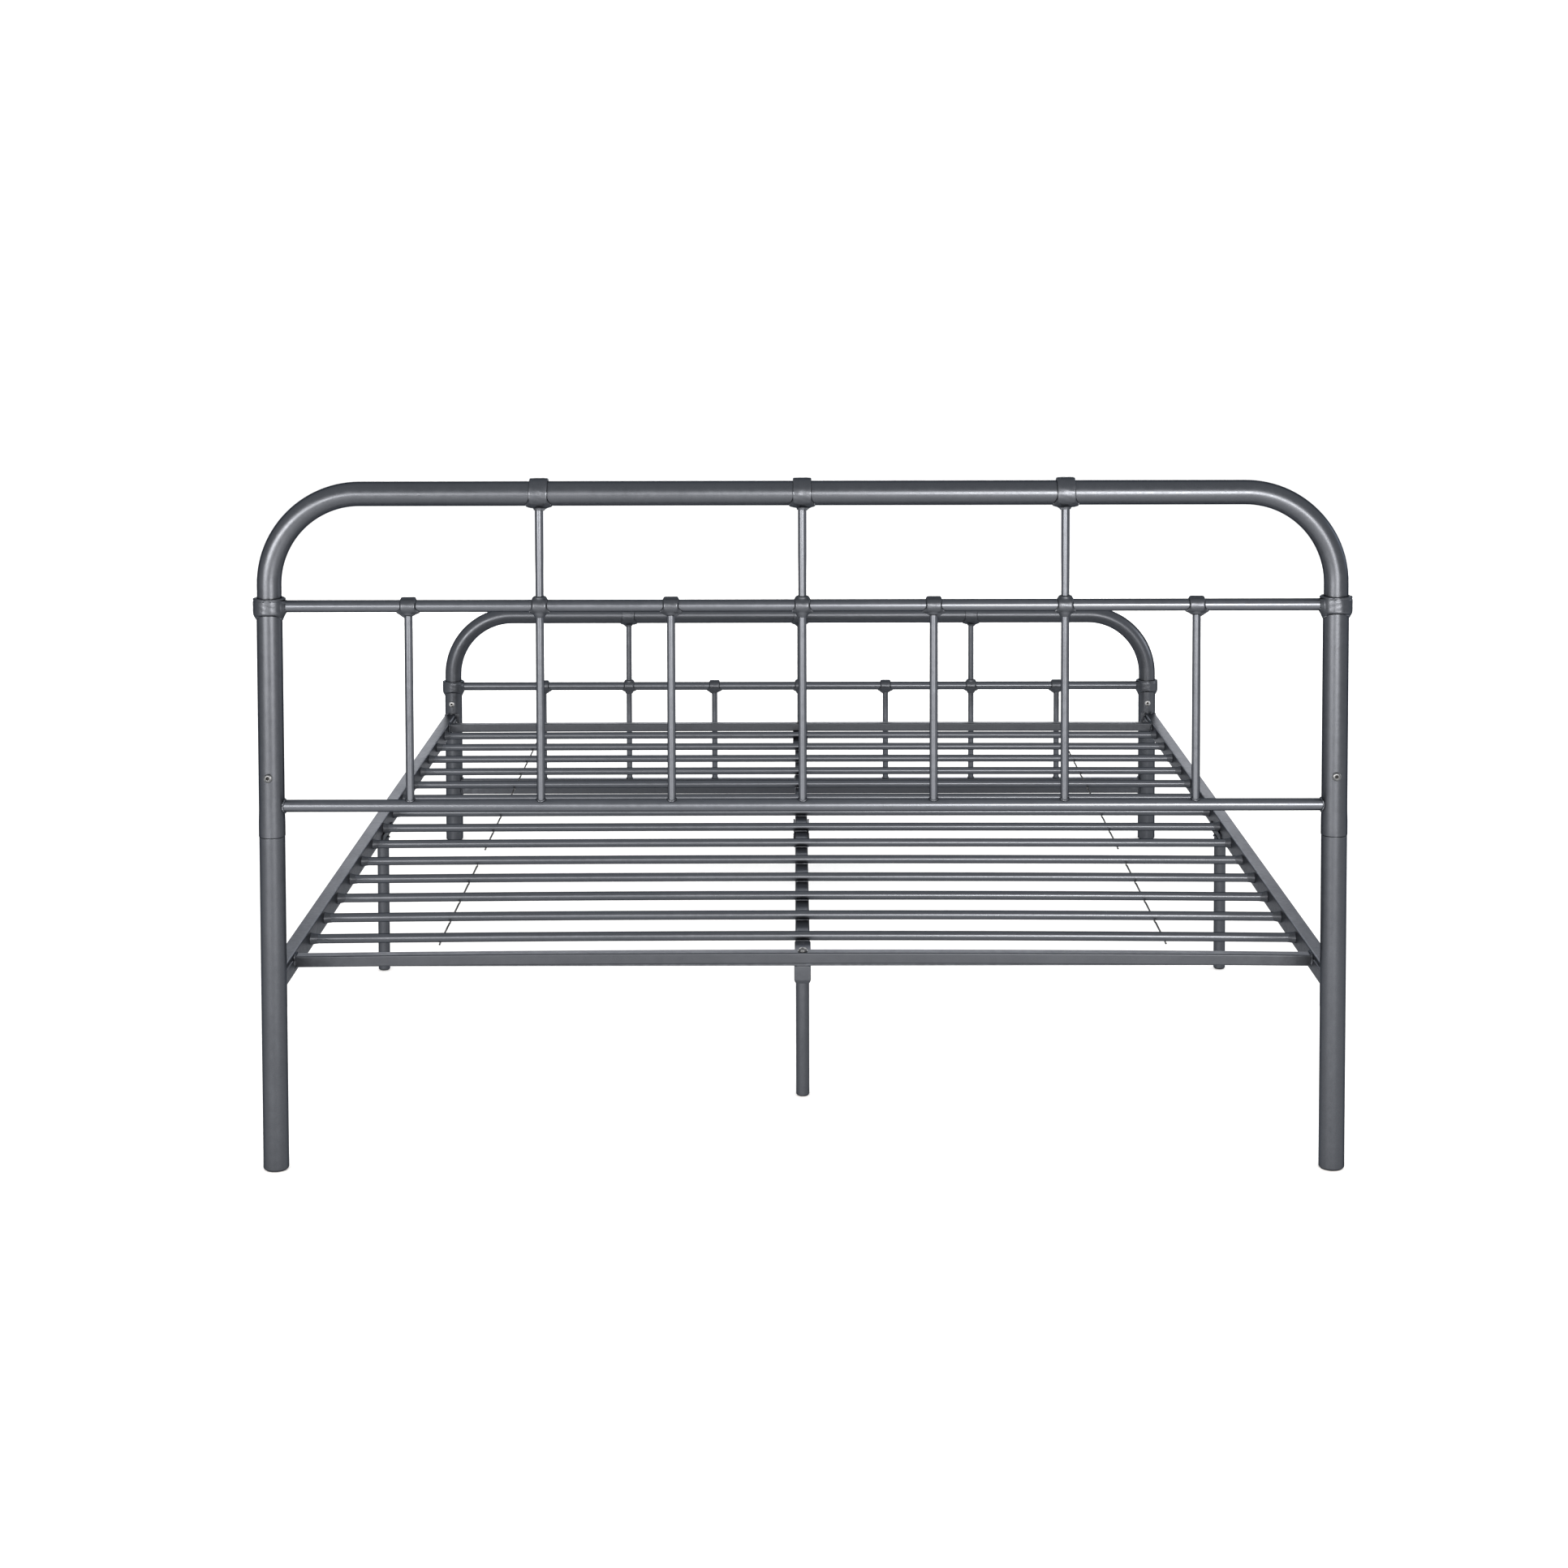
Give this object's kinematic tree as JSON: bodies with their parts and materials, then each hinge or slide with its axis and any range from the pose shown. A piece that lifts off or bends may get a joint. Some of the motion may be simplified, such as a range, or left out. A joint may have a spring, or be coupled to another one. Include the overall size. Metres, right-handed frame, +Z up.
{
  "type": "metal bed frame",
  "caption": "Tubular metal double bed frame with arched head and foot panels, cast joints, round spindles and slats on rectangular side rails.",
  "frame": {"origin": "on the floor, under the middle of the frame", "axes": "+Y runs along the length from the headboard to the footboard, +X across the width to the right seen from behind the headboard, +Z up"},
  "size_m": [1.4224, 1.9874, 0.9067],
  "materials": {
    "tube_coat": "satin gunmetal powder coat with a fine metallic grain",
    "spindle_coat": "satin gunmetal powder coat",
    "rail_coat": "satin gunmetal powder coat, slightly paler on the flat faces",
    "slat_coat": "satin gunmetal powder coat",
    "leg_coat": "satin gunmetal powder coat",
    "wire_coat": "black coated wire",
    "bolt_zinc": "dark zinc plated, satin"
  },
  "bodies": {
    "root": {"head_arch_tube": "tube_coat", "head_post_left": "tube_coat", "head_leg_left": "tube_coat", "head_bolt_left": "bolt_zinc", "head_post_right": "tube_coat", "head_leg_right": "tube_coat", "head_bolt_right": "bolt_zinc", "head_mid_rail": "tube_coat", "head_lower_rail": "tube_coat", "head_spindle_1": "spindle_coat", "head_spindle_2": "spindle_coat", "head_spindle_3": "spindle_coat", "head_spindle_4": "spindle_coat", "head_spindle_5": "spindle_coat", "head_spindle_6": "spindle_coat", "head_spindle_7": "spindle_coat", "foot_arch_tube": "tube_coat", "foot_post_left": "tube_coat", "foot_bolt_left": "bolt_zinc", "foot_post_right": "tube_coat", "foot_bolt_right": "bolt_zinc", "foot_mid_rail": "tube_coat", "foot_lower_band": "rail_coat", "foot_spindle_1": "spindle_coat", "foot_spindle_2": "spindle_coat", "foot_spindle_3": "spindle_coat", "foot_spindle_4": "spindle_coat", "foot_spindle_5": "spindle_coat", "foot_spindle_6": "spindle_coat", "foot_spindle_7": "spindle_coat", "side_rail_left_head_half": "rail_coat", "side_rail_left_foot_half": "rail_coat", "side_rail_right_head_half": "rail_coat", "side_rail_right_foot_half": "rail_coat", "crossbar_head": "rail_coat", "crossbar_foot": "rail_coat", "slat_01": "slat_coat", "slat_02": "slat_coat", "slat_03": "slat_coat", "slat_04": "slat_coat", "slat_05": "slat_coat", "slat_06": "slat_coat", "slat_07": "slat_coat", "slat_08": "slat_coat", "slat_09": "slat_coat", "slat_10": "slat_coat", "slat_11": "slat_coat", "slat_12": "slat_coat", "slat_13": "slat_coat", "slat_14": "slat_coat", "tie_wire_left_head": "wire_coat", "tie_wire_left_foot": "wire_coat", "tie_wire_right_head": "wire_coat", "tie_wire_right_foot": "wire_coat", "centre_beam_head_half": "rail_coat", "centre_beam_foot_half": "rail_coat", "centre_leg_head": "leg_coat", "centre_leg_foot": "leg_coat", "mid_leg_left": "leg_coat", "mid_leg_right": "leg_coat"}
  },
  "joints": []
}
